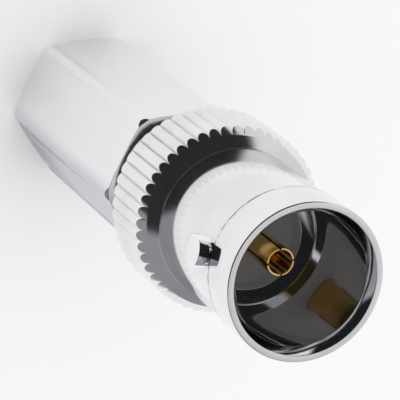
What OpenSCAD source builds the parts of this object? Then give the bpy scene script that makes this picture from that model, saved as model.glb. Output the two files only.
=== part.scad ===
// In-line 75 ohm bayonet jack: a nickel-plated mating barrel with two pressed-in
// bayonet lugs and a fluted grip ring, a gold-plated slotted socket contact held
// by two insulators, and a long hexagonal clamp shell that screws on from behind
// and squeezes the cable clamp. It stands on the shell's rear face, mouth up.
// Depths are measured down from the mouth. All sizes are in millimetres.

/* [Mating barrel] */
// Outer diameter of the collar round the mouth
collar_d = 9.65; // [9.55:0.05:9.8]
// Length of the collar
collar_len = 3; // [2.8:0.05:3.2]
// Width of the broken edge at each end of the collar
collar_edge = 0.05; // [0.02:0.01:0.05]
// Outer diameter of the tapered neck, where it leaves the collar
neck_front_d = 9.36; // [9.2:0.02:9.4]
// Outer diameter of the tapered neck, where it meets the grip ring
neck_rear_d = 9.6; // [9.4:0.02:9.6]
// Inner diameter of the flat lip at the mouth
lip_d = 8.85; // [8.6:0.05:9.2]
// Length of the cone that leads from the lip into the bore
entry_len = 0.6; // [0.3:0.1:1]
// Diameter of the mating bore
bore_d = 8.1; // [8:0.05:8.3]
// Depth of the mating bore
bore_depth = 7.8; // [7:0.1:8.4]
// Width of the chamfer round the bottom of the mating bore
bore_floor_edge = 0.15; // [0.05:0.05:0.3]
// Diameter of the recess in the floor of the mating bore
recess_d = 6.2; // [5.6:0.1:6.5]
// Depth from the mouth to the front insulator, where the recess ends
recess_depth = 9; // [8.6:0.1:9.4]

/* [Bayonet lugs] */
// Diameter of each lug
lug_d = 2; // [1.9:0.05:2.05]
// Distance across the outer ends of the two lugs
lug_span = 11; // [10.8:0.05:11.2]
// Depth from the mouth to the lugs' centre line
lug_depth = 4.05; // [3.9:0.05:5.4]
// Width of the broken edge round each lug's outer end
lug_edge = 0.05; // [0.02:0.01:0.1]
// Wall left between a lug's inner end and the mating bore
lug_floor = 0.2; // [0.1:0.05:0.4]

/* [Grip ring] */
// Number of flutes round the ring
flute_count = 48; // [36:1:60]
// Diameter over the crests of the ridges between the flutes
ring_d = 12; // [11.6:0.1:12.6]
// Radius of each rounded ridge
ridge_r = 0.375; // [0.36:0.005:0.42]
// Depth from the mouth to the ring's front edge
ring_depth = 10.85; // [10.5:0.05:11.5]
// Length of the ring
ring_len = 5.35; // [4.5:0.05:7]
// Thickness of the ring, from its seat on the barrel to the crests
ring_wall = 1.35; // [1.2:0.05:1.5]
// Width of the flat left between the neck and the ring's front bevel
ring_face_w = 0.01; // [0.01:0.01:0.1]
// Length of the ring's front bevel
bevel_len = 0.4; // [0.2:0.05:0.6]
// Height of the ridges' crests above the outer edge of that bevel
ridge_front_rise = 0.54; // [0.4:0.02:0.7]
// Length of the chamfer on the front ends of the ridges
ridge_front_edge = 0.55; // [0.3:0.05:0.8]
// Width of the chamfer on the rear ends of the ridges
ridge_rear_edge = 0.35; // [0.2:0.05:0.5]
// Turn of the ridges from the line of the lugs, in degrees
flute_turn = 1; // [0:0.5:7]

/* [Rear of the barrel] */
// Diameter of the plain shoulder between the grip ring and the shell
shoulder_d = 8.6; // [8.2:0.1:8.9]
// Length of that shoulder
shoulder_len = 3.1; // [2:0.1:5]
// Outer diameter of the threaded spigot
spigot_d = 7.8; // [7.6:0.05:7.9]
// Length of the threaded spigot
spigot_len = 6.7; // [5:0.1:8]
// Diameter of the thread's run-out groove, next to the shoulder
relief_d = 7.4; // [7.3:0.05:7.5]
// Length of the run-out groove
relief_len = 0.8; // [0.5:0.1:1.2]
// Width of the chamfer on the spigot's end
spigot_edge = 0.2; // [0.1:0.05:0.3]
// Diameter of the bore behind the recess, which seats the insulators
seat_bore_d = 6.9; // [6.8:0.05:6.95]

/* [Centre contact] */
// Outer diameter of the slotted socket
contact_d = 1.74; // [1.6:0.02:1.9]
// Bore of the slotted socket
contact_bore_d = 1.44; // [1.36:0.02:1.48]
// Depth from the mouth to the socket's tip
contact_depth = 3.65; // [3.2:0.05:5.2]
// Length of the socket's bore
contact_bore_len = 5.2; // [4.6:0.1:6]
// Width of the slots between the four leaves
slot_w = 0.16; // [0.1:0.02:0.2]
// Length of the slots
slot_len = 4; // [3:0.1:4.4]
// Width of the countersink inside the socket's tip
tip_edge = 0.05; // [0.02:0.01:0.06]
// Diameter of the flange that the insulators trap
flange_d = 2.6; // [2.2:0.1:3.2]
// Thickness of that flange
flange_t = 0.7; // [0.5:0.1:1]
// Outer diameter of the solder cup
cup_d = 1.9; // [1.6:0.1:2]
// Bore of the solder cup
cup_bore_d = 1.1; // [0.8:0.1:1.3]
// Depth of the solder cup's bore
cup_bore_len = 2.6; // [2:0.1:3]
// Length of the cup behind the rear insulator
cup_len = 2.8; // [2:0.1:4]
// Diameter of the inspection hole in the solder cup
inspect_d = 0.6; // [0.4:0.1:0.8]
// Turn of the slots from the line of the lugs, in degrees
slot_turn = 16; // [0:1:45]

/* [Insulators] */
// Thickness of the front insulator
front_insulator_t = 2; // [1.5:0.1:3]
// Thickness of the rear insulator
rear_insulator_t = 3.6; // [2:0.1:4]
// Length of the bush that locks the insulators in
bush_len = 1.8; // [1:0.1:2.4]
// Bore of that bush
bush_bore_d = 5.2; // [4.6:0.1:5.6]

/* [Cable clamp] */
// Diameter of the cable jacket that the clamp is made for
cable_d = 5; // [4.6:0.1:5.2]
// Clearance round the cable in the clamp's loose pieces
cable_gap = 0.1; // [0.05:0.05:0.15]
// Bore of the braid clamp, for the cable's dielectric
clamp_bore_d = 3.8; // [3.4:0.1:4.2]
// Diameter of the braid clamp's nose at its tip
nose_tip_d = 4.8; // [4.6:0.1:5.2]
// Diameter of the braid clamp's nose at its flange
nose_root_d = 6.2; // [5.8:0.1:6.4]
// Length of the braid clamp's nose
nose_len = 1.8; // [1:0.1:3]
// Thickness of the braid clamp's flange
clamp_flange_t = 1; // [0.6:0.1:1.4]
// Depth of the V in the back of the braid clamp
clamp_vee = 0.4; // [0.2:0.1:0.5]
// Height of the rubber gasket
gasket_t = 2.5; // [2:0.1:3.5]
// Thickness of the thrust washer
washer_t = 0.8; // [0.5:0.1:1.2]

/* [Hexagonal shell] */
// Width across the flats
hex_af = 9.15; // [9:0.05:9.4]
// Diameter that the hexagon's corners are turned to
hex_corner_d = 10.4; // [10.2:0.05:10.5]
// Length of the shell
shell_len = 19.3; // [17:0.1:26]
// Width of the turned chamfer round the shell's rear end
shell_rear_edge = 0.6; // [0.3:0.05:0.8]
// Width of the turned chamfer round the shell's front end
shell_front_edge = 0.2; // [0.1:0.05:0.4]
// Bore that the cable runs through
shell_bore_d = 6; // [5.6:0.1:6.4]
// Width of the countersink at the bore's rear mouth
shell_bore_edge = 0.4; // [0.2:0.1:0.6]
// Turn of the hexagon from the line of the lugs, in degrees
hex_turn = 15; // [0:1:59]

/* [Fits] */
// Radial clearance of the thread, drawn here as plain cylinders
thread_gap = 0.05; // [0.03:0.01:0.08]
// Radial clearance of the loose clamp pieces inside the shell
stack_gap = 0.12; // [0.1:0.01:0.2]
// Radial clearance of a pressed or trapped piece in its seat
seat_gap = 0.01; // [0:0.01:0.02]
// Clearance between end faces that are screwed together
face_gap = 0.02; // [0.01:0.01:0.05]

/* [Hidden] */
$fn = 96;

// A cut runs past the surface that it opens by this much
over = 1;

// Facets round each small ridge
ridge_facets = 24;

// Depths of the faces that the pieces share
ring_rear = ring_depth + ring_len;
shell_front = ring_rear + shoulder_len;
spigot_end = shell_front + spigot_len;
total_len = shell_front + face_gap + shell_len;
front_insulator_rear = recess_depth + front_insulator_t;
rear_insulator_rear = front_insulator_rear + rear_insulator_t;
clamp_front = spigot_end + face_gap;
gasket_front = clamp_front + clamp_flange_t;
washer_front = gasket_front + gasket_t;
washer_rear = washer_front + washer_t;

// Radii that fit one piece to another
shell_thread_r = spigot_d / 2 + thread_gap;
stack_r = shell_thread_r - stack_gap;
seat_r = seat_bore_d / 2 - seat_gap;
cable_hole_r = cable_d / 2 + cable_gap;
lug_inner_r = bore_d / 2 + lug_floor;
ring_seat_r = ring_d / 2 - ring_wall;
ring_hole_r = ring_seat_r + seat_gap;
bevel_inner_r = max(neck_rear_d / 2, ring_hole_r) + ring_face_w;
bevel_outer_r = ring_d / 2 - ridge_front_rise;

// Height of a point above the shell's rear face, from its depth below the mouth
function at(depth) = total_len - depth;

// A disc or ring between two depths
module ring(front, rear, outer_r, inner_r = 0) {
    translate([0, 0, at(rear)]) difference() {
        cylinder(h = rear - front, r = outer_r);
        if (inner_r > 0)
            translate([0, 0, -over]) cylinder(h = rear - front + 2 * over, r = inner_r);
    }
}

// The solid that the barrel is turned to, from its lip down to the end of its spigot
module barrel_outside() {
    rotate_extrude() polygon([
        [0, at(0)],
        [collar_d / 2 - collar_edge, at(0)],
        [collar_d / 2, at(collar_edge)],
        [collar_d / 2, at(collar_len - collar_edge)],
        [collar_d / 2 - collar_edge, at(collar_len)],
        [neck_front_d / 2, at(collar_len)],
        [neck_rear_d / 2, at(ring_depth)],
        [ring_seat_r, at(ring_depth)],
        [ring_seat_r, at(ring_rear)],
        [shoulder_d / 2, at(ring_rear)],
        [shoulder_d / 2, at(shell_front)],
        [relief_d / 2, at(shell_front)],
        [relief_d / 2, at(shell_front + relief_len)],
        [spigot_d / 2, at(shell_front + relief_len)],
        [spigot_d / 2, at(spigot_end - spigot_edge)],
        [spigot_d / 2 - spigot_edge, at(spigot_end)],
        [0, at(spigot_end)],
    ]);
}

// The hollow through the barrel: entry cone, mating bore, recess and insulator seat
module barrel_hollow() {
    rotate_extrude() polygon([
        [0, at(-over)],
        [lip_d / 2, at(-over)],
        [lip_d / 2, at(0)],
        [bore_d / 2, at(entry_len)],
        [bore_d / 2, at(bore_depth - bore_floor_edge)],
        [bore_d / 2 - bore_floor_edge, at(bore_depth)],
        [recess_d / 2, at(bore_depth)],
        [recess_d / 2, at(recess_depth)],
        [seat_bore_d / 2, at(recess_depth)],
        [seat_bore_d / 2, at(spigot_end + over)],
        [0, at(spigot_end + over)],
    ]);
}

module barrel() {
    color("gainsboro") difference() {
        barrel_outside();
        barrel_hollow();
        for (side = [0, 180])
            rotate([0, 0, side]) lug_blank(lug_d / 2 + seat_gap, lug_span / 2 + over);
    }
}

// A round pin that points along +X at the lugs' depth, from the lugs' inner end outwards
module lug_blank(pin_r, outer_end) {
    translate([lug_inner_r, 0, at(lug_depth)]) rotate([0, 90, 0])
        cylinder(h = outer_end - lug_inner_r, r = pin_r);
}

// One bayonet lug on the +X side, with the edge of its outer end broken
module lug() {
    color("gainsboro") union() {
        lug_blank(lug_d / 2, lug_span / 2 - lug_edge);
        translate([lug_span / 2 - lug_edge, 0, at(lug_depth)]) rotate([0, 90, 0])
            cylinder(h = lug_edge, r1 = lug_d / 2, r2 = lug_d / 2 - lug_edge);
    }
}

module lug_left() {
    rotate([0, 0, 180]) lug();
}

module lug_right() {
    lug();
}

// The blank that the grip ring is turned to before it is fluted
module ring_blank() {
    rotate_extrude() polygon([
        [ring_hole_r, at(ring_depth)],
        [bevel_inner_r, at(ring_depth)],
        [bevel_outer_r, at(ring_depth + bevel_len)],
        [ring_d / 2, at(ring_depth + bevel_len + ridge_front_edge)],
        [ring_d / 2, at(ring_rear - ridge_rear_edge)],
        [ring_d / 2 - ridge_rear_edge, at(ring_rear)],
        [ring_hole_r, at(ring_rear)],
    ]);
}

// The ridged outline: a round core with one rounded ridge to each flute
module ridges() {
    ridge_centre = ring_d / 2 - ridge_r;
    ring(ring_depth - over, ring_rear + over, ridge_centre);
    for (i = [0 : flute_count - 1])
        rotate([0, 0, flute_turn + i * 360 / flute_count])
            translate([ridge_centre, 0, at(ring_rear + over)])
                cylinder(h = ring_len + 2 * over, r = ridge_r, $fn = ridge_facets);
}

module grip_ring() {
    color("gainsboro") intersection() {
        ring_blank();
        ridges();
    }
}

module front_insulator() {
    color("dimgray")
        ring(recess_depth, front_insulator_rear, seat_r, contact_d / 2 + seat_gap);
}

// The rear insulator is counterbored for the contact's flange
module rear_insulator() {
    color("whitesmoke") difference() {
        ring(front_insulator_rear, rear_insulator_rear, seat_r, cup_d / 2 + seat_gap);
        ring(front_insulator_rear - over, front_insulator_rear + flange_t + seat_gap,
             flange_d / 2 + seat_gap);
    }
}

module insulator_bush() {
    color("gainsboro")
        ring(rear_insulator_rear, rear_insulator_rear + bush_len, seat_r, bush_bore_d / 2);
}

// Socket, flange and solder cup, turned from one bar
module contact_outside() {
    flange_rear = front_insulator_rear + flange_t;
    rotate_extrude() polygon([
        [0, at(contact_depth)],
        [contact_d / 2, at(contact_depth)],
        [contact_d / 2, at(front_insulator_rear)],
        [flange_d / 2, at(front_insulator_rear)],
        [flange_d / 2, at(flange_rear)],
        [cup_d / 2, at(flange_rear)],
        [cup_d / 2, at(rear_insulator_rear + cup_len)],
        [0, at(rear_insulator_rear + cup_len)],
    ]);
}

// The socket's bore, with a countersink at its tip
module contact_bore() {
    rotate_extrude() polygon([
        [0, at(contact_depth - over)],
        [contact_bore_d / 2 + tip_edge, at(contact_depth - over)],
        [contact_bore_d / 2 + tip_edge, at(contact_depth)],
        [contact_bore_d / 2, at(contact_depth + tip_edge)],
        [contact_bore_d / 2, at(contact_depth + contact_bore_len)],
        [0, at(contact_depth + contact_bore_len)],
    ]);
}

module centre_contact() {
    cup_rear = rear_insulator_rear + cup_len;
    color("gold") difference() {
        contact_outside();
        contact_bore();
        ring(cup_rear - cup_bore_len, cup_rear + over, cup_bore_d / 2);
        for (cut = [0, 90])
            rotate([0, 0, slot_turn + cut])
                translate([-contact_d, -slot_w / 2, at(contact_depth + slot_len)])
                    cube([2 * contact_d, slot_w, slot_len + over]);
        translate([0, 0, at(cup_rear - cup_bore_len / 2)]) rotate([0, 90, 0])
            cylinder(h = cup_d, d = inspect_d);
    }
}

// The braid folds back over the tapered nose, and the gasket bears in the V behind it
module braid_clamp() {
    vee_mid_r = (cable_hole_r + stack_r) / 2;
    color("gainsboro") rotate_extrude() polygon([
        [clamp_bore_d / 2, at(clamp_front - nose_len)],
        [nose_tip_d / 2, at(clamp_front - nose_len)],
        [nose_root_d / 2, at(clamp_front)],
        [stack_r, at(clamp_front)],
        [stack_r, at(gasket_front)],
        [vee_mid_r, at(gasket_front - clamp_vee)],
        [cable_hole_r, at(gasket_front)],
        [clamp_bore_d / 2, at(gasket_front)],
    ]);
}

// The gasket's nose fills the V in the braid clamp
module cable_gasket() {
    vee_mid_r = (cable_hole_r + stack_r) / 2;
    color("dimgray") rotate_extrude() polygon([
        [cable_hole_r, at(gasket_front)],
        [vee_mid_r, at(gasket_front - clamp_vee)],
        [stack_r, at(gasket_front)],
        [stack_r, at(washer_front)],
        [cable_hole_r, at(washer_front)],
    ]);
}

module thrust_washer() {
    color("gainsboro")
        ring(washer_front, washer_rear, stack_r, cable_hole_r);
}

// The turned envelope that rounds the hexagon's corners and chamfers its ends
module shell_envelope() {
    corner_r = hex_corner_d / 2;
    rotate_extrude() polygon([
        [0, 0],
        [corner_r - shell_rear_edge, 0],
        [corner_r, shell_rear_edge],
        [corner_r, shell_len - shell_front_edge],
        [corner_r - shell_front_edge, shell_len],
        [0, shell_len],
    ]);
}

module hex_shell() {
    cable_bore_r = shell_bore_d / 2;
    color("gainsboro") difference() {
        intersection() {
            rotate([0, 0, hex_turn]) cylinder(h = shell_len, r = hex_af / 2 / cos(30), $fn = 6);
            shell_envelope();
        }
        translate([0, 0, at(washer_rear)]) cylinder(h = shell_len, r = shell_thread_r);
        translate([0, 0, -over]) cylinder(h = shell_len, r = cable_bore_r);
        cylinder(h = shell_bore_edge, r1 = cable_bore_r + shell_bore_edge, r2 = cable_bore_r);
    }
}

hex_shell();
thrust_washer();
cable_gasket();
braid_clamp();
barrel();
lug_left();
lug_right();
grip_ring();
front_insulator();
rear_insulator();
insulator_bush();
centre_contact();
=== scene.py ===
"""Dresses an in-line 75 ohm bayonet jack: nickel barrel, fluted ring, gold contact, hexagonal shell."""
import logging
import math
from dataclasses import dataclass
from enum import Enum
from typing import Any, Callable, Optional, Sequence, Union

import bmesh
import bpy
from mathutils import Matrix, Vector


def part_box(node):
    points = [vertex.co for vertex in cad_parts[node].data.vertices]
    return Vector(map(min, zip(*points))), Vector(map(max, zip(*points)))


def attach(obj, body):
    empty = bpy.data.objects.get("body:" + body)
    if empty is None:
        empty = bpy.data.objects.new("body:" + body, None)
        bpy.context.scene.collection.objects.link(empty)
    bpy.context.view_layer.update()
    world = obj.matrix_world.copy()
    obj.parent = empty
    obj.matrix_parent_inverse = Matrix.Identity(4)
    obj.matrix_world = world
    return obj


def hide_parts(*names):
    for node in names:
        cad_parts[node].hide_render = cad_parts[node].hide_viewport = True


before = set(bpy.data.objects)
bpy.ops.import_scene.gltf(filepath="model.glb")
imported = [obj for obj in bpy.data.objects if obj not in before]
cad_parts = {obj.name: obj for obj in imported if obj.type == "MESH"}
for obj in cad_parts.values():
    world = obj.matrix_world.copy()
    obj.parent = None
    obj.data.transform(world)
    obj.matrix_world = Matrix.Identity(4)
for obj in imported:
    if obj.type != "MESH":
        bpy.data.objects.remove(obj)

Point = tuple[float, float]
Colour = tuple[float, float, float, float]

MM = 0.001
TURN = 2 * math.pi
MERGE = 2e-7
SHARP_ANGLE = math.radians(40)
SEAM_DARK = (0.03, 0.03, 0.035, 1)

log = logging.getLogger("jack")
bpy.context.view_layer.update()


# ---------------------------------------------------------------- shader maths


class Wire:
    """A shader socket whose Python operators add Math, Mix or Vector Math nodes."""

    def __init__(self, graph: "Graph", socket: bpy.types.NodeSocket) -> None:
        """Wraps a socket.

        Args:
            graph: the material's graph, which makes new nodes.
            socket: the output that this wire starts from.
        """
        self.graph = graph
        self.socket = socket

    def _maths(self, operation: str, first: Any, second: Any, clamp: bool = False) -> "Wire":
        """Adds one Math node and returns its result."""
        node = self.graph.node("ShaderNodeMath", {"operation": operation, "use_clamp": clamp},
                               {0: first, 1: second})
        return Wire(self.graph, node.outputs[0])

    def __add__(self, other: Any) -> "Wire":
        """Adds."""
        return self._maths("ADD", self, other)

    def __radd__(self, other: Any) -> "Wire":
        """Adds, reflected."""
        return self._maths("ADD", other, self)

    def __sub__(self, other: Any) -> "Wire":
        """Subtracts."""
        return self._maths("SUBTRACT", self, other)

    def __rsub__(self, other: Any) -> "Wire":
        """Subtracts, reflected."""
        return self._maths("SUBTRACT", other, self)

    def __mul__(self, other: Any) -> "Wire":
        """Multiplies."""
        return self._maths("MULTIPLY", self, other)

    def __rmul__(self, other: Any) -> "Wire":
        """Multiplies, reflected."""
        return self._maths("MULTIPLY", other, self)

    def __pow__(self, other: Any) -> "Wire":
        """Raises to a power."""
        return self._maths("POWER", self, other)

    def clamped(self) -> "Wire":
        """Limits the value to 0..1."""
        return self._maths("ADD", self, 0.0, clamp=True)

    def above(self, low: float, high: float) -> "Wire":
        """Rises smoothly from 0 at low to 1 at high.

        Args:
            low: the value that gives 0.
            high: the value that gives 1.

        Returns:
            The mask.
        """
        node = self.graph.node("ShaderNodeMapRange", {"interpolation_type": "SMOOTHSTEP"},
                               {"Value": self, "From Min": low, "From Max": high})
        return Wire(self.graph, node.outputs["Result"])


class Graph:
    """Builds one node tree by a single method, for a material or a world."""

    def __init__(self, tree: bpy.types.NodeTree) -> None:
        """Empties a node tree and takes it over."""
        self.tree = tree
        tree.nodes.clear()

    def node(self, kind: str, settings: Optional[dict[str, Any]] = None,
             inputs: Optional[dict[Union[int, str], Any]] = None) -> bpy.types.Node:
        """Adds a node.

        Args:
            kind: Blender's name for the node's type.
            settings: attributes, set before the sockets.
            inputs: socket name or number to a value, a Wire or a socket.

        Returns:
            The new node.
        """
        node = self.tree.nodes.new(kind)
        for name, value in (settings or {}).items():
            setattr(node, name, value)
        for key, value in (inputs or {}).items():
            self.feed(node.inputs[key], value)
        return node

    def feed(self, socket: bpy.types.NodeSocket, value: Any) -> None:
        """Links a wire or an output to a socket, or sets its value."""
        if isinstance(value, Wire):
            self.tree.links.new(value.socket, socket)
        elif isinstance(value, bpy.types.NodeSocket):
            self.tree.links.new(value, socket)
        else:
            socket.default_value = value

    def wire(self, kind: str, output: Union[int, str], settings: Optional[dict[str, Any]] = None,
             inputs: Optional[dict[Union[int, str], Any]] = None) -> Wire:
        """Adds a node and wraps one of its outputs."""
        return Wire(self, self.node(kind, settings, inputs).outputs[output])

    def place(self, stretch: tuple[float, float, float] = (1, 1, 1)) -> Wire:
        """Gives the point on the object in millimetres, stretched along the axes.

        Args:
            stretch: a factor for each axis.

        Returns:
            The mapped coordinates.
        """
        spot = self.node("ShaderNodeTexCoord").outputs["Object"]
        scale = tuple(factor / MM for factor in stretch)
        return self.wire("ShaderNodeMapping", 0, None, {"Vector": spot, "Scale": scale})

    def noise(self, spot: Wire, scale: float, detail: float = 3.0, rough: float = 0.5) -> Wire:
        """Adds a noise pattern with values round 0.5."""
        return self.wire("ShaderNodeTexNoise", 0, None,
                         {"Vector": spot, "Scale": scale, "Detail": detail, "Roughness": rough})

    def mix(self, factor: Any, first: Any, second: Any) -> Wire:
        """Mixes two colours."""
        node = self.node("ShaderNodeMix", {"data_type": "RGBA"}, {0: factor, 6: first, 7: second})
        return Wire(self, node.outputs[2])

    def axes(self, spot: Wire) -> tuple[Wire, Wire, Wire]:
        """Splits coordinates into x, y and z."""
        node = self.node("ShaderNodeSeparateXYZ", None, {0: spot})
        return Wire(self, node.outputs[0]), Wire(self, node.outputs[1]), Wire(self, node.outputs[2])


# ---------------------------------------------------------------- finishes


class Marks(Enum):
    """The way a tool has marked a metal surface."""

    TURNED = "rings round the axis"
    DRAWN = "lines along the axis"
    PLAIN = "no direction"


@dataclass(frozen=True)
class Metal:
    """A plated metal with tool marks, faint clouding and worn spots.

    A dark broken seam round the axis can be added, and painted shade: a darker, bluer tone towards one
    side that stands in for a reflection of dark surroundings.
    """

    name: str
    colour: Colour
    cloud: Colour
    roughness: float
    roughness_spread: float
    marks: Marks
    mark_scale: float
    mark_height: float
    wave_height: float = 0.0
    worn: float = 0.0
    seam_height: float = 0.0
    seam_width: float = 0.20
    seam_radius: float = 4.6
    # Painted shade: the colour and the side of a darker reflection painted into the base colour.
    painted_shade_colour: Optional[Colour] = None
    painted_shade_side: Point = (0.48, 0.87)

    def make(self) -> bpy.types.Material:
        """Builds the material.

        Returns:
            The finished material.
        """
        material = bpy.data.materials.new(self.name)
        material.use_nodes = True
        graph = Graph(material.node_tree)
        spot = graph.place()
        if self.marks is Marks.DRAWN:
            lined = graph.place((1, 1, 0.03))
        elif self.marks is Marks.TURNED:
            x, y, z = graph.axes(spot)
            radius = (x * x + y * y) ** 0.5
            lined = graph.wire("ShaderNodeCombineXYZ", 0, None, {0: radius, 1: 0.15, 2: z})
        else:
            lined = spot
        lines = graph.noise(lined, self.mark_scale, 4.0, 0.65)
        clouds = graph.noise(spot, 0.35, 2.0)
        specks = graph.noise(spot, 5.0, 5.0, 0.7).above(0.66, 0.74)
        tint = graph.mix(clouds.above(0.35, 0.65), self.colour, self.cloud)
        dull = tuple(part * 0.72 for part in self.cloud[:3]) + (1.0,)
        tint = graph.mix(specks * self.worn, tint, dull)
        if self.seam_height > 0:
            tint = graph.mix(self.seam(graph, spot), tint, SEAM_DARK)
        # Painted shade: one side of the piece turns darker and bluer, standing in for a reflection of dark
        # surroundings.
        if self.painted_shade_colour is not None:
            east, north, _ = graph.axes(spot)
            side = east * self.painted_shade_side[0] + north * self.painted_shade_side[1]
            tint = graph.mix(side.above(2.6, 4.4), tint, self.painted_shade_colour)
        rough = self.roughness + (lines - 0.5) * self.roughness_spread + specks * (0.25 * self.worn)
        waves = graph.noise(graph.place((1, 1, 0.25)), 0.55, 1.0)
        fine = graph.wire("ShaderNodeBump", 0, None,
                          {"Strength": 1.0, "Distance": self.mark_height * MM, "Height": lines})
        bump = graph.node("ShaderNodeBump", None,
                          {"Strength": 1.0, "Distance": self.wave_height * MM, "Height": waves,
                           "Normal": fine})
        shader = graph.node("ShaderNodeBsdfPrincipled", None,
                            {"Base Color": tint, "Metallic": 1.0, "Roughness": rough.clamped(),
                             "Normal": bump.outputs[0]})
        graph.node("ShaderNodeOutputMaterial", None, {0: shader.outputs[0]})
        return material


    def seam(self, graph: Graph, spot: Wire) -> Wire:
        """Marks a dark, broken line round the axis at the seam's height.

        Args:
            graph: the material's graph.
            spot: the object's coordinates in millimetres.

        Returns:
            The mask.
        """
        east, north, height = graph.axes(spot)
        outside = ((east * east + north * north) ** 0.5).above(self.seam_radius - 0.1, self.seam_radius)
        below = height.above(self.seam_height - self.seam_width, self.seam_height)
        beyond = height.above(self.seam_height, self.seam_height + self.seam_width)
        broken = graph.noise(graph.place((1, 1, 3)), 1.6, 4.0, 0.7).above(0.43, 0.50)
        return below * (1.0 - beyond) * broken * outside


@dataclass(frozen=True)
class Moulding:
    """A plastic or rubber with a fine grain and slight mottling."""

    name: str
    colour: Colour
    mottle: Colour
    roughness: float
    grain: float

    def make(self) -> bpy.types.Material:
        """Builds the material.

        Returns:
            The finished material.
        """
        material = bpy.data.materials.new(self.name)
        material.use_nodes = True
        graph = Graph(material.node_tree)
        spot = graph.place()
        mottle = graph.noise(spot, 1.2, 4.0)
        grain = graph.noise(spot, 9.0, 5.0, 0.6)
        bump = graph.node("ShaderNodeBump", None,
                          {"Strength": 1.0, "Distance": self.grain * MM, "Height": grain})
        rough = self.roughness + (mottle - 0.5) * 0.2
        shader = graph.node("ShaderNodeBsdfPrincipled", None,
                            {"Base Color": graph.mix(mottle, self.colour, self.mottle),
                             "Roughness": rough.clamped(), "Normal": bump.outputs[0]})
        graph.node("ShaderNodeOutputMaterial", None, {0: shader.outputs[0]})
        return material


BARREL_NICKEL = Metal("barrel_nickel", (0.87, 0.865, 0.86, 1), (0.81, 0.82, 0.83, 1), 0.07, 0.05,
                      Marks.TURNED, 7.0, 0.0006, 0.0, 0.25, 35.68)
RING_NICKEL = Metal("ring_nickel", (0.86, 0.86, 0.86, 1), (0.79, 0.795, 0.81, 1), 0.13, 0.10,
                    Marks.PLAIN, 6.0, 0.0012, 0.0, 0.35)
# The shell's second tone is painted shade on one side, a stand-in for a dark reflection.
SHELL_NICKEL = Metal("shell_nickel", (0.90, 0.88, 0.895, 1), (0.865, 0.88, 0.89, 1), 0.17, 0.10,
                     Marks.DRAWN, 8.0, 0.0012, 0.004, 0.2, painted_shade_colour=(0.42, 0.42, 0.48, 1))
LUG_NICKEL = Metal("lug_nickel", (0.90, 0.90, 0.90, 1), (0.84, 0.85, 0.86, 1), 0.08, 0.06,
                   Marks.PLAIN, 6.0, 0.0005, 0.0, 0.2)
CLAMP_NICKEL = Metal("clamp_nickel", (0.74, 0.74, 0.72, 1), (0.66, 0.66, 0.64, 1), 0.30, 0.15,
                     Marks.TURNED, 7.0, 0.001, 0.0, 0.3)
CONTACT_GOLD = Metal("contact_gold", (0.95, 0.66, 0.24, 1), (0.86, 0.55, 0.17, 1), 0.16, 0.12,
                     Marks.TURNED, 9.0, 0.0008, 0.0, 0.3)
GREY_PLASTIC = Moulding("grey_plastic", (0.40, 0.39, 0.39, 1), (0.34, 0.33, 0.335, 1), 0.45, 0.004)
WHITE_PTFE = Moulding("white_ptfe", (0.85, 0.85, 0.83, 1), (0.79, 0.79, 0.77, 1), 0.5, 0.003)
BLACK_RUBBER = Moulding("black_rubber", (0.03, 0.03, 0.031, 1), (0.045, 0.044, 0.043, 1), 0.7, 0.008)


# ---------------------------------------------------------------- meshes


def fillet(before: Point, corner: Point, after: Point, radius: float, steps: int = 3) -> list[Point]:
    """Rounds one corner of an outline with a smooth curve.

    Args:
        before: the point that the outline comes from.
        corner: the corner to round.
        after: the point that the outline goes to.
        radius: how far from the corner the rounding starts.
        steps: pieces in the curve.

    Returns:
        The points that replace the corner.
    """
    way_in = Vector((before[0] - corner[0], before[1] - corner[1]))
    way_out = Vector((after[0] - corner[0], after[1] - corner[1]))
    reach = min(radius, way_in.length * 0.49, way_out.length * 0.49)
    start = Vector(corner) + way_in.normalized() * reach
    end = Vector(corner) + way_out.normalized() * reach
    curve = []
    for step in range(steps + 1):
        share = step / steps
        spot = start * (1 - share) ** 2 + Vector(corner) * 2 * share * (1 - share) + end * share ** 2
        curve.append((spot.x, spot.y))
    return curve


def softened(outline: Sequence[tuple[float, float, float]]) -> list[Point]:
    """Rounds the corners of a closed outline.

    Args:
        outline: radius, height and rounding of each corner, in millimetres.

    Returns:
        The rounded outline.
    """
    points: list[Point] = []
    for index, (radius, height, soft) in enumerate(outline):
        before = outline[index - 1][:2]
        after = outline[(index + 1) % len(outline)][:2]
        if soft > 0:
            points.extend(fillet(before, (radius, height), after, soft))
        else:
            points.append((radius, height))
    return points


def plain_mesh(name: str, material: bpy.types.Material, build: bmesh.types.BMesh) -> bpy.types.Object:
    """Turns a bmesh into a smooth-shaded object with one material.

    Args:
        name: the piece's name.
        material: its finish.
        build: the geometry, in metres, which is freed.

    Returns:
        The new object, at the origin.
    """
    bmesh.ops.remove_doubles(build, verts=build.verts, dist=MERGE)
    bmesh.ops.recalc_face_normals(build, faces=build.faces)
    mesh = bpy.data.meshes.new(name)
    build.to_mesh(mesh)
    build.free()
    mesh.materials.append(material)
    mesh.polygons.foreach_set("use_smooth", [True] * len(mesh.polygons))
    mesh.set_sharp_from_angle(angle=SHARP_ANGLE)
    piece = bpy.data.objects.new(name, mesh)
    bpy.context.scene.collection.objects.link(piece)
    return piece


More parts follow.
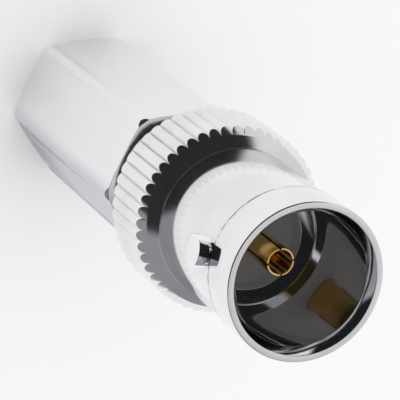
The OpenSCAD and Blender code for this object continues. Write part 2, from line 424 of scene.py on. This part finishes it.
def turned(name: str, material: bpy.types.Material, outline: Sequence[Point], steps: int = 192,
           lie: Optional[Matrix] = None) -> bpy.types.Object:
    """Revolves a closed outline about the Z axis.

    Args:
        name: the piece's name.
        material: its finish.
        outline: radius and height of each point, in millimetres.
        steps: segments round the axis.
        lie: a turn and shift for the finished solid, in metres.

    Returns:
        The turned piece.
    """
    build = bmesh.new()
    rows = []
    for step in range(steps):
        angle = TURN * step / steps
        rows.append([build.verts.new((r * MM * math.cos(angle), r * MM * math.sin(angle), z * MM))
                     for r, z in outline])
    for step in range(steps):
        here, there = rows[step], rows[(step + 1) % steps]
        for index in range(len(outline)):
            after = (index + 1) % len(outline)
            if outline[index][0] == 0 and outline[after][0] == 0:
                continue
            build.faces.new((here[index], there[index], there[after], here[after]))
    bmesh.ops.remove_doubles(build, verts=build.verts, dist=MERGE)
    bmesh.ops.dissolve_degenerate(build, edges=build.edges, dist=MERGE)
    if lie is not None:
        build.transform(lie)
    return plain_mesh(name, material, build)


def sector(name: str, material: bpy.types.Material, columns: Sequence[float],
           profile: Callable[[float], list[Point]]) -> bpy.types.Object:
    """Builds the slice of a piece that repeats round the axis, open at its two cut sides.

    Args:
        name: the piece's name.
        material: its finish.
        columns: the angles of the slice's columns, in radians.
        profile: gives a column's closed outline of radius and height, in millimetres.

    Returns:
        The slice, to be repeated by around().
    """
    build = bmesh.new()
    rows = []
    for angle in columns:
        rows.append([build.verts.new((r * MM * math.cos(angle), r * MM * math.sin(angle), z * MM))
                     for r, z in profile(angle)])
    for here, there in zip(rows, rows[1:]):
        for index in range(len(here)):
            after = (index + 1) % len(here)
            build.faces.new((here[index], there[index], there[after], here[after]))
    return plain_mesh(name, material, build)


def round_tree() -> bpy.types.NodeTree:
    """Makes the node tree that repeats a slice round the Z axis and joins the copies.

    Returns:
        The tree, with inputs Copies, First turn and Finish.
    """
    tree = bpy.data.node_groups.new("repeat_round_axis", "GeometryNodeTree")
    face = tree.interface
    face.new_socket("Slice", in_out="INPUT", socket_type="NodeSocketGeometry")
    face.new_socket("Copies", in_out="INPUT", socket_type="NodeSocketInt")
    face.new_socket("First turn", in_out="INPUT", socket_type="NodeSocketFloat")
    face.new_socket("Finish", in_out="INPUT", socket_type="NodeSocketMaterial")
    face.new_socket("Whole", in_out="OUTPUT", socket_type="NodeSocketGeometry")
    graph = Graph(tree)
    given = graph.node("NodeGroupInput")
    spots = graph.node("GeometryNodePoints", None, {"Count": given.outputs["Copies"]})
    number = graph.wire("GeometryNodeInputIndex", 0)
    step = graph.wire("ShaderNodeMath", 0, {"operation": "DIVIDE"}, {0: TURN, 1: given.outputs["Copies"]})
    turn = number * step + Wire(graph, given.outputs["First turn"])
    rotation = graph.node("ShaderNodeCombineXYZ", None, {"Z": turn})
    placed = graph.node("GeometryNodeInstanceOnPoints", None,
                        {"Points": spots.outputs[0], "Instance": given.outputs["Slice"],
                         "Rotation": rotation.outputs[0]})
    real = graph.node("GeometryNodeRealizeInstances", None, {0: placed.outputs[0]})
    merged = graph.node("GeometryNodeMergeByDistance", None, {0: real.outputs[0], "Distance": MERGE})
    dressed = graph.node("GeometryNodeSetMaterial", None,
                         {0: merged.outputs[0], "Material": given.outputs["Finish"]})
    graph.node("NodeGroupOutput", None, {0: dressed.outputs[0]})
    return tree


def around(piece: bpy.types.Object, tree: bpy.types.NodeTree, copies: int, first_turn: float,
           material: bpy.types.Material) -> bpy.types.Object:
    """Repeats a slice round the Z axis and leaves one plain mesh.

    Args:
        piece: the slice, which is removed.
        tree: the node tree from round_tree().
        copies: how many slices make the whole.
        first_turn: the first slice's turn, in radians.
        material: the finish.

    Returns:
        The whole piece, under the slice's name.
    """
    name = piece.name
    modifier = piece.modifiers.new("repeat", "NODES")
    modifier.node_group = tree
    values = {"Copies": copies, "First turn": first_turn, "Finish": material}
    for item in tree.interface.items_tree:
        if item.in_out == "INPUT" and item.name in values:
            modifier[item.identifier] = values[item.name]
    bpy.context.view_layer.update()
    seen = piece.evaluated_get(bpy.context.evaluated_depsgraph_get())
    mesh = bpy.data.meshes.new_from_object(seen)
    piece.modifiers.clear()
    bpy.data.objects.remove(piece)
    build = bmesh.new()
    build.from_mesh(mesh)
    bpy.data.meshes.remove(mesh)
    return plain_mesh(name, material, build)


def hand_over(piece: bpy.types.Object, body: str, node: str) -> None:
    """Puts a finished piece in a CAD node's place.

    Args:
        piece: the finished mesh.
        body: the body that it rides on.
        node: the node that it replaces.
    """
    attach(piece, body)
    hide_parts(node)
    log.info("%s: %d faces on %s", piece.name, len(piece.data.polygons), body)


def dress(node: str, material: bpy.types.Material) -> None:
    """Gives a CAD node that stays visible a better finish."""
    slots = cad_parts[node].material_slots
    for slot in slots:
        slot.material = material
    log.info("%s: keeps its CAD shape", node)


# ---------------------------------------------------------------- sub-assemblies


@dataclass
class MatingBarrel:
    """The turned barrel with its pressed-in lugs; heights are worked out from its node's box."""

    collar_d: float = 9.65
    collar_len: float = 3.0
    neck_front_d: float = 9.36
    neck_rear_d: float = 9.6
    lip_d: float = 8.85
    entry_len: float = 0.6
    bore_d: float = 8.1
    bore_depth: float = 7.8
    recess_d: float = 6.2
    recess_depth: float = 9.0
    ring_depth: float = 10.85
    ring_len: float = 5.35
    ring_seat_d: float = 9.3
    shoulder_d: float = 8.6
    shoulder_len: float = 3.1
    relief_d: float = 7.4
    relief_len: float = 0.8
    spigot_d: float = 7.8
    thread_lead: float = 0.75
    thread_depth: float = 0.28
    groove_share: float = 0.9
    thread_soft: float = 0.03
    seat_bore_d: float = 6.9
    spigot_edge: float = 0.2
    rim_soft: float = 0.08
    edge_soft: float = 0.05
    lug_d: float = 2.0
    lug_span: float = 11.0
    lug_depth: float = 4.05
    lug_floor: float = 0.2
    lug_soft: float = 0.07

    def thread(self, front: float, rear: float) -> list[tuple[float, float, float]]:
        """Gives the V grooves of the spigot's thread.

        Args:
            front: depth of the first groove, in millimetres.
            rear: depth at which the grooves stop.

        Returns:
            Radius, depth and rounding of each corner.
        """
        crest = self.spigot_d / 2
        count = int((rear - front) / self.thread_lead)
        points = []
        for turn in range(count):
            start = front + turn * self.thread_lead
            middle = start + self.thread_lead * (self.groove_share / 2)
            end = start + self.thread_lead * self.groove_share
            points.append((crest, start, self.thread_soft))
            points.append((crest - self.thread_depth, middle, self.thread_soft))
            points.append((crest, end, self.thread_soft))
        return points

    def outline(self, total: float) -> list[Point]:
        """Gives the barrel's closed outline.

        Args:
            total: height of the mouth, in millimetres.

        Returns:
            Radius and height of each point.
        """
        ring_rear = self.ring_depth + self.ring_len
        shell_front = ring_rear + self.shoulder_len
        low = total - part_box("barrel")[0].z / MM
        relief_end = shell_front + self.relief_len
        corners = [
            (self.lip_d / 2, 0, 0.03),
            (self.collar_d / 2, 0, self.rim_soft),
            (self.collar_d / 2, self.collar_len, self.edge_soft),
            (self.neck_front_d / 2, self.collar_len, 0.03),
            (self.neck_rear_d / 2, self.ring_depth, 0.03),
            (self.ring_seat_d / 2, self.ring_depth, 0),
            (self.ring_seat_d / 2, ring_rear, 0.05),
            (self.shoulder_d / 2, ring_rear, 0.05),
            (self.shoulder_d / 2, shell_front, self.edge_soft),
            (self.relief_d / 2, shell_front, 0.05),
            (self.relief_d / 2, relief_end, 0.05),
        ]
        corners += self.thread(relief_end, low - self.spigot_edge)
        corners += [
            (self.spigot_d / 2 - self.spigot_edge, low, 0.05),
            (self.seat_bore_d / 2, low, 0.05),
            (self.seat_bore_d / 2, self.recess_depth, 0),
            (self.recess_d / 2, self.recess_depth, 0.02),
            (self.recess_d / 2, self.bore_depth, 0.05),
            (self.bore_d / 2, self.bore_depth, 0.12),
            (self.bore_d / 2, self.entry_len, 0.05),
        ]
        return softened([(r, total - depth, soft) for r, depth, soft in corners])

    def lug(self, name: str, side: float, total: float, material: bpy.types.Material) -> bpy.types.Object:
        """Builds one bayonet lug.

        Args:
            name: the piece's name.
            side: 1 for the +X side, -1 for the other.
            total: height of the mouth, in millimetres.
            material: the finish.

        Returns:
            The lug.
        """
        inner = self.bore_d / 2 + self.lug_floor
        pin_r = self.lug_d / 2
        corners = softened([(0, inner, 0), (pin_r, inner, 0.03), (pin_r, self.lug_span / 2, self.lug_soft),
                            (0, self.lug_span / 2, 0)])
        lie = (Matrix.Translation((0, 0, (total - self.lug_depth) * MM))
               @ Matrix.Rotation(side * math.pi / 2, 4, "Y"))
        return turned(name, material, corners, 96, lie)

    def build(self) -> None:
        """Builds, dresses and places the barrel and its lugs."""
        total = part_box("barrel")[1].z / MM
        nickel = BARREL_NICKEL.make()
        barrel = turned("barrel_shell", nickel, self.outline(total), 256)
        hand_over(barrel, "barrel", "barrel")
        pin = LUG_NICKEL.make()
        hand_over(self.lug("lug_right_pin", 1, total, pin), "barrel", "lug_right")
        hand_over(self.lug("lug_left_pin", -1, total, pin), "barrel", "lug_left")


@dataclass
class GripRing:
    """The fluted ring, built as one ridge and repeated round the axis."""

    flute_count: int = 48
    ring_d: float = 12.0
    ridge_r: float = 0.375
    seat_d: float = 9.32
    bevel_inner_d: float = 9.62
    bevel_outer_d: float = 10.92
    bevel_len: float = 0.4
    front_edge: float = 0.55
    rear_edge: float = 0.35
    flute_turn: float = 1.0
    columns: int = 14

    def ridge_reach(self, angle: float) -> float:
        """Gives the ridge's radius at an angle from its crest, in millimetres."""
        centre = self.ring_d / 2 - self.ridge_r
        across = centre * math.sin(angle)
        return centre * math.cos(angle) + math.sqrt(max(self.ridge_r ** 2 - across ** 2, 0))

    def profile(self, angle: float, low: float, high: float) -> list[Point]:
        """Gives the ring's closed outline at one angle.

        Args:
            angle: the angle from the ridge's crest, in radians.
            low: height of the ring's rear face, in millimetres.
            high: height of its front edge.

        Returns:
            Radius and height of each point.
        """
        reach = self.ridge_reach(angle)
        bevel_end = high - self.bevel_len
        crest = self.ring_d / 2
        slope = self.front_edge / (crest - self.bevel_outer_d / 2)
        front = bevel_end - (reach - self.bevel_outer_d / 2) * slope
        rear = low + reach - (crest - self.rear_edge)
        corners = [
            (self.seat_d / 2, high, 0),
            (self.bevel_inner_d / 2, high, 0.03),
            (self.bevel_outer_d / 2, bevel_end, 0.05),
            (reach, front, 0.10),
            (reach, rear, 0.08),
            (crest - self.rear_edge, low, 0.05),
            (self.seat_d / 2, low, 0),
        ]
        return softened(corners)

    def build(self, tree: bpy.types.NodeTree) -> None:
        """Builds, dresses and places the ring."""
        low, high = (corner.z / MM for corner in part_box("grip_ring"))
        nickel = RING_NICKEL.make()
        half = math.pi / self.flute_count
        angles = []
        for column in range(self.columns + 1):
            share = 2 * column / self.columns - 1
            angles.append(half * math.sin(share * math.pi / 2))
        ridge = sector("fluted_ring", nickel, angles, lambda angle: self.profile(angle, low, high))
        whole = around(ridge, tree, self.flute_count, math.radians(self.flute_turn), nickel)
        hand_over(whole, "barrel", "grip_ring")


@dataclass
class SocketContact:
    """The gold-plated contact: four spring leaves, a flange and a solder cup."""

    outer_d: float = 1.74
    bore_d: float = 1.44
    bore_len: float = 5.2
    slot_w: float = 0.16
    slot_len: float = 4.0
    slot_turn: float = 16.0
    leaf_columns: int = 14
    flange_t: float = 0.7
    cup_d: float = 1.9
    cup_bore_d: float = 1.1
    cup_bore_len: float = 2.6

    def leaf(self, top: float, material: bpy.types.Material) -> bpy.types.Object:
        """Builds one of the four leaves as a closed bent bar.

        Args:
            top: height of the tip, in millimetres.
            material: the finish.

        Returns:
            The leaf, round the +X direction.
        """
        foot = top - self.slot_len
        gap = math.asin(self.slot_w / self.outer_d)
        reach = math.pi / 4 - gap
        outline = softened([
            (self.bore_d / 2, foot, 0), (self.bore_d / 2, top, 0.05),
            (self.outer_d / 2, top, 0.04), (self.outer_d / 2, foot, 0)])
        build = bmesh.new()
        rows = []
        for column in range(self.leaf_columns + 1):
            angle = reach * (2 * column / self.leaf_columns - 1)
            rows.append([build.verts.new((r * MM * math.cos(angle), r * MM * math.sin(angle), z * MM))
                         for r, z in outline])
        for here, there in zip(rows, rows[1:]):
            for index in range(len(here)):
                after = (index + 1) % len(here)
                build.faces.new((here[index], there[index], there[after], here[after]))
        build.faces.new(rows[0])
        build.faces.new(rows[-1])
        return plain_mesh("contact_leaves", material, build)

    def build(self, tree: bpy.types.NodeTree) -> None:
        """Builds, dresses and places the contact."""
        low, high = (corner.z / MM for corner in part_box("centre_contact"))
        front_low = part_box("front_insulator")[0].z / MM
        gold = CONTACT_GOLD.make()
        foot = high - self.slot_len
        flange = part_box("centre_contact")[1].x / MM
        flange_low = front_low - self.flange_t
        cup_r = self.cup_d / 2
        cup_bore = self.cup_bore_d / 2
        cup_floor = low + self.cup_bore_len
        outline = softened([
            (0, high - self.bore_len, 0), (self.bore_d / 2, high - self.bore_len, 0.05),
            (self.bore_d / 2, foot, 0), (self.outer_d / 2, foot, 0),
            (self.outer_d / 2, front_low, 0.03), (flange, front_low, 0.05),
            (flange, flange_low, 0.05), (cup_r, flange_low, 0.03),
            (cup_r, low, 0.04), (cup_bore, low, 0.04), (cup_bore, cup_floor, 0.05),
            (0, cup_floor, 0)])
        stem = turned("contact_stem", gold, outline, 96)
        leaves = around(self.leaf(high, gold), tree, 4,
                        math.radians(self.slot_turn) + math.pi / 4, gold)
        build = bmesh.new()
        for part in (stem, leaves):
            build.from_mesh(part.data)
            bpy.data.objects.remove(part)
        whole = plain_mesh("slotted_contact", gold, build)
        hand_over(whole, "barrel", "centre_contact")


@dataclass
class HexShell:
    """The long hexagonal clamp shell, one sixth repeated round the axis."""

    across_flats: float = 9.15
    corner_d: float = 10.4
    corner_soft: float = 0.5
    rear_edge: float = 0.6
    front_edge: float = 0.2
    cable_bore_d: float = 6.0
    bore_edge: float = 0.4
    thread_bore_d: float = 7.9
    hex_turn: float = 15.0
    corner_reach: float = 1.6
    corner_columns: int = 8

    def wall(self, angle: float) -> float:
        """Gives the rounded hexagon's radius at an angle from a corner, in millimetres."""
        flat = self.across_flats / 2
        centre = flat / math.cos(math.pi / 6) - self.corner_soft / math.cos(math.pi / 6)
        straight = flat / math.cos(math.pi / 6 - abs(angle))
        across = centre * math.sin(abs(angle))
        if across >= self.corner_soft:
            return straight
        bulge = centre * math.cos(angle) + math.sqrt(self.corner_soft ** 2 - across ** 2)
        return min(straight, bulge)

    def profile(self, angle: float, low: float, high: float, shoulder: float) -> list[Point]:
        """Gives the shell's closed outline at one angle.

        Args:
            angle: the angle from the nearest corner, in radians.
            low: height of the rear face, in millimetres.
            high: height of the front face.
            shoulder: height of the seat of the thrust washer.

        Returns:
            Radius and height of each point.
        """
        reach = self.wall(angle)
        corner = self.corner_d / 2
        rear_start = min(corner - self.rear_edge, reach)
        front_start = min(corner - self.front_edge, reach)
        rear_rise = max(reach - (corner - self.rear_edge), 0.03)
        front_drop = max(reach - (corner - self.front_edge), 0.03)
        bore = self.cable_bore_d / 2
        thread = self.thread_bore_d / 2
        corners = [
            (bore, low + self.bore_edge, 0.05),
            (bore + self.bore_edge, low, 0.05),
            (rear_start - 0.02, low, 0.04),
            (reach, low + rear_rise, 0.08),
            (reach, high - front_drop, 0.05),
            (front_start - 0.02, high, 0.03),
            (thread, high, 0.05),
            (thread, shoulder, 0.05),
            (bore, shoulder, 0.05),
        ]
        return softened(corners)

    def build(self, tree: bpy.types.NodeTree) -> None:
        """Builds, dresses and places the shell."""
        low, high = (corner.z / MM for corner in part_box("hex_shell"))
        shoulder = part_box("thrust_washer")[0].z / MM
        nickel = SHELL_NICKEL.make()
        half = math.pi / 6
        soft_at = math.atan(self.corner_soft * 0.5 / (self.across_flats / 2))
        angles = [-half, -half * 0.7, -half * 0.45]
        columns = self.corner_columns
        angles += [soft_at * self.corner_reach * (step / columns - 1) for step in range(2 * columns)]
        angles += [soft_at * self.corner_reach, half * 0.45, half * 0.7, half]
        sixth = sector("hexagonal_shell", nickel, sorted(angles),
                       lambda angle: self.profile(angle, low, high, shoulder))
        whole = around(sixth, tree, 6, math.radians(self.hex_turn), nickel)
        hand_over(whole, "shell", "hex_shell")


@dataclass
class InnerPieces:
    """The insulators and the cable clamp, whose CAD shapes are already right."""

    disc_soft: float = 0.06
    contact_hole_d: float = 1.76

    def build(self) -> None:
        """Builds the visible insulator disc and dresses the hidden pieces."""
        low, high = (corner.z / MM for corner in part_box("front_insulator"))
        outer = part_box("front_insulator")[1].x / MM
        inner = self.contact_hole_d / 2
        outline = softened([(inner, low, 0.03), (outer, low, self.disc_soft),
                            (outer, high, self.disc_soft), (inner, high, 0.03)])
        disc = turned("insulator_disc", GREY_PLASTIC.make(), outline, 128)
        hand_over(disc, "barrel", "front_insulator")
        clamp = CLAMP_NICKEL.make()
        for node in ("thrust_washer", "braid_clamp", "insulator_bush"):
            dress(node, clamp)
        dress("rear_insulator", WHITE_PTFE.make())
        dress("cable_gasket", BLACK_RUBBER.make())


# ---------------------------------------------------------------- studio


@dataclass
class Studio:
    """Floor, lighting world and camera."""

    lens: float = 233.8
    eye: tuple[float, float, float] = (66.635, -36.479, 164.676)
    angles: tuple[float, float, float] = (-18.555, -21.502, -166.317)
    floor_half: float = 1.2
    dark_centre: tuple[float, float, float] = (0.473, -0.488, 0.730)
    dark_inner: float = 0.60
    dark_outer: float = 0.49
    shade_side: tuple[float, float, float] = (0.48, 0.87, 0.05)
    daylight: Colour = (1.0, 1.0, 1.0, 1)
    wall_light: Colour = (0.76, 0.76, 0.77, 1)
    wall_shade: Colour = (0.27, 0.275, 0.30, 1)
    dark: Colour = (0.01, 0.01, 0.012, 1)

    def floor(self) -> None:
        """Lays a plain pale floor under the part."""
        half = self.floor_half
        build = bmesh.new()
        corners = [build.verts.new((x, y, 0)) for x, y in
                   ((-half, -half), (half, -half), (half, half), (-half, half))]
        build.faces.new(corners)
        material = bpy.data.materials.new("floor_white")
        material.use_nodes = True
        graph = Graph(material.node_tree)
        shader = graph.node("ShaderNodeBsdfDiffuse", None, {"Color": (0.97, 0.97, 0.97, 1)})
        graph.node("ShaderNodeOutputMaterial", None, {0: shader.outputs[0]})
        plain_mesh("floor", material, build)

    def world(self) -> None:
        """Surrounds the part with white light, and shows metal a grey room with a dark opening."""
        world = bpy.data.worlds.new("studio")
        bpy.context.scene.world = world
        world.use_nodes = True
        graph = Graph(world.node_tree)
        way = graph.node("ShaderNodeTexCoord").outputs["Generated"]
        toward = Vector(self.dark_centre).normalized()
        facing = graph.wire("ShaderNodeVectorMath", "Value", {"operation": "DOT_PRODUCT"},
                            {0: way, 1: tuple(toward)})
        dark = facing.above(self.dark_outer, self.dark_inner)
        path = graph.node("ShaderNodeLightPath")
        glossy = Wire(graph, path.outputs["Is Glossy Ray"])
        side = graph.wire("ShaderNodeVectorMath", "Value", {"operation": "DOT_PRODUCT"},
                          {0: way, 1: tuple(Vector(self.shade_side).normalized())})
        walls = graph.mix(side.above(-0.3, 0.85), self.wall_light, self.wall_shade)
        seen = graph.mix(dark, walls, self.dark)
        colour = graph.mix(glossy, self.daylight, seen)
        back = graph.node("ShaderNodeBackground", None, {0: colour, 1: 1.0})
        graph.node("ShaderNodeOutputWorld", None, {0: back.outputs[0]})

    def camera(self) -> None:
        """Looks down on the mouth, with the part's axis towards the lower right."""
        data = bpy.data.cameras.new("camera")
        data.lens = self.lens
        data.clip_start = 0.01
        camera = bpy.data.objects.new("camera", data)
        camera.location = Vector(self.eye) * MM
        camera.rotation_euler = tuple(math.radians(angle) for angle in self.angles)
        bpy.context.scene.collection.objects.link(camera)
        bpy.context.scene.camera = camera

    def build(self) -> None:
        """Sets up the whole studio."""
        bpy.context.scene.view_settings.view_transform = "Standard"
        self.camera()
        self.world()
        self.floor()


def main() -> None:
    """Builds the studio and every piece."""
    logging.basicConfig(level=logging.INFO, format="%(name)s: %(message)s")
    Studio().build()
    tree = round_tree()
    MatingBarrel().build()
    GripRing().build(tree)
    SocketContact().build(tree)
    HexShell().build(tree)
    InnerPieces().build()


if __name__ == "__main__":
    main()
